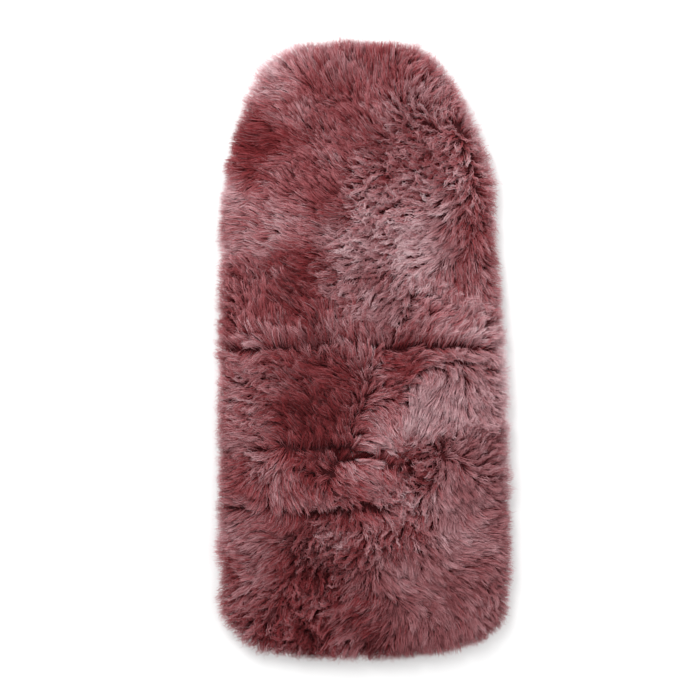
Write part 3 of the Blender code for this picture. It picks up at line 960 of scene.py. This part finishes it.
def grow_strands(locks, strands_each, points, rng):
    """The path, radii and shades of each strand of the given locks."""
    count = len(locks["crimp"])
    lock = np.repeat(np.arange(count), strands_each)
    strands = len(lock)
    t = np.linspace(0, 1, points)
    loose = locks["loose"][lock]

    depth = locks["depth"][lock]
    on_edge = 1 - smooth(depth, 0.0, 0.012)
    reach = 1 - rng.uniform(0, 0.12 + 0.12 * loose + 0.22 * on_edge)
    at = t[None] * reach[:, None] * (LOCK_POINTS - 1)
    low = np.minimum(at.astype(int), LOCK_POINTS - 2)
    share = (at - low)[..., None]
    rows = lock[:, None]

    def along(values):
        return values[rows, low] * (1 - share) + values[rows, low + 1] * share

    spin = rng.uniform(0, TAU, strands)
    out = LOCK_RADIUS * (1.05 - 0.25 * locks["crimp"]) * rng.uniform(0.8, 1.15, count)
    out = out[lock] * np.sqrt(rng.random(strands))
    tuft = (0.95 - 0.33 * smooth(locks["crimp"], 0.0, 0.9))[lock, None]
    tuft = tuft + (1.25 - tuft) * on_edge[:, None]
    gather = 1 + (tuft - 1) * smooth(t[None], 0.0, 0.85)
    path = along(locks["centre"])
    path += along(locks["side"]) * ((out * np.cos(spin))[:, None] * gather)[..., None]
    path -= along(locks["over"]) * ((out * np.sin(spin))[:, None] * gather * (1 - 0.4 * t))[..., None]
    stray = np.where(rng.random(strands) < 0.08, 0.0024, 0.0007)[:, None]
    path += (rng.normal(0, 1, (strands, 3)) * stray)[:, None] * (t**1.6)[None, :, None]
    path += rng.normal(0, 0.00030, path.shape) * t[None, :, None]
    lift_over_edge(path, depth)

    radii = STRAND_RADIUS * rng.uniform(0.75, 1.2, (strands, 1)) * (1 - 0.70 * t[None, :-1] ** 1.8)
    radii = radii * (1 - 0.4 * on_edge)[:, None]
    stretch = ((t[:-1] + t[1:]) / 2)[None]
    tone = locks["tone"][lock, None] + rng.normal(0, 0.09, (strands, 1))
    # Each strand darkens towards its root and pales to its tip: partly the wool's own colour, partly
    # painted shade deep among the locks, stronger where the locks are loose.
    fade_and_root_shade = (0.45 + 0.80 * loose)[:, None]
    tone = tone * (0.35 + 0.65 * stretch) + fade_and_root_shade * (stretch**0.8 - 0.74)
    step = (0.46 + 0.38 * tone) * (TONES - 1) + rng.uniform(-0.4, 0.4, (strands, 1))
    step = np.clip(np.round(step), 0, TONES - 1)
    greyed = locks["grey"][lock] + rng.normal(0, 1, strands) * (0.08 + 0.12 * loose) > 0.25
    return path, radii, step + TONES * greyed[:, None]


def lift_over_edge(path, depth):
    """Keep the strands that grow near the cut edge over the binding, or hanging outside it."""
    near = np.flatnonzero(depth < 0.030)
    points = path[near].reshape(-1, 3)
    past = -inside(points[:, 0], points[:, 1])[0]
    lowest = BINDING_TOP + 0.0004 - (BINDING_TOP - 0.0010) * smooth(past, 0.0022, 0.0060)
    points[:, 2] = np.maximum(points[:, 2], lowest)
    path[near] = points.reshape(len(near), -1, 3)


def build_wool():
    """The wool's strands, combed and curled, in pieces small enough to export whole."""
    rng = np.random.default_rng(11)
    locks = grow_locks(rng)
    curled = locks["crimp"] > CURLED
    for kind, chosen, strands_each, points in (
        ("combed", ~curled, 11, 7),
        ("curled", curled, 9, LOCK_POINTS),
    ):
        some = {key: values[chosen] for key, values in locks.items()}
        paths, radii, shades = grow_strands(some, strands_each, points, rng)
        root_y = paths[:, 0, 1].copy()
        most = MAX_FACES_PER_PIECE // (6 * (points - 2) + 4)
        for zone, (low, high, bodies) in zones(FOLD_WOOL_HALF).items():
            here = np.flatnonzero((root_y >= low) & (root_y < high))
            here = here[np.argsort(root_y[here], kind="stable")]
            for number, part in enumerate(np.array_split(here, math.ceil(len(here) / most)), 1):
                piece = add_strands(
                    f"{zone}_{kind}_wool_{number}", paths[part], radii[part], shades[part]
                )
                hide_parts(f"{zone}_wool" if "fold" in zone else f"{zone}_wool_pile")
                attach(piece, bodies)


build_inner_layers()
build_fold_tapes()
build_binding()
build_slot_facing()
build_undercoat()
build_wool()


# ------------------------------------------------------------------ floor, light and camera
def build_stage():
    """A plain white floor, soft light from the upper left, and the camera straight above."""
    floor_material = bpy.data.materials.new("floor")
    floor_material.use_nodes = True
    shader = floor_material.node_tree.nodes["Principled BSDF"]
    shader.inputs["Base Color"].default_value = (0.93, 0.93, 0.93, 1)
    shader.inputs["Roughness"].default_value = 0.9
    floor = mesh_object(
        "floor", [(-6, -6, 0), (6, -6, 0), (6, 6, 0), (-6, 6, 0)], [(0, 1, 2, 3)], [floor_material]
    )

    world = bpy.data.worlds.new("studio")
    world.use_nodes = True
    world.node_tree.nodes["Background"].inputs["Color"].default_value = (1, 1, 1, 1)
    world.node_tree.nodes["Background"].inputs["Strength"].default_value = 0.88
    bpy.context.scene.world = world
    bpy.context.scene.view_settings.view_transform = "Standard"

    for name, place, size, power in (
        ("key", (-0.8, 1.5, 1.6), 1.2, 34),
        ("fill", (1.5, 0.6, 2.2), 1.8, 10),
    ):
        light = bpy.data.lights.new(name, "AREA")
        light.size = size
        light.energy = power
        lamp = bpy.data.objects.new(name, light)
        bpy.context.scene.collection.objects.link(lamp)
        lamp.location = place
        lamp.rotation_euler = (-lamp.location).to_track_quat("-Z", "Y").to_euler()

    camera = bpy.data.cameras.new("camera")
    camera.sensor_width = 36
    distance = 3.0
    width_in_view = 0.90
    camera.lens = camera.sensor_width * distance / width_in_view
    camera_object = bpy.data.objects.new("camera", camera)
    bpy.context.scene.collection.objects.link(camera_object)
    camera_object.location = (-0.0142, -0.0010, distance + WOOL_TOP)
    camera_object.rotation_euler = (0, 0, math.radians(-1.1))
    bpy.context.scene.camera = camera_object


build_stage()
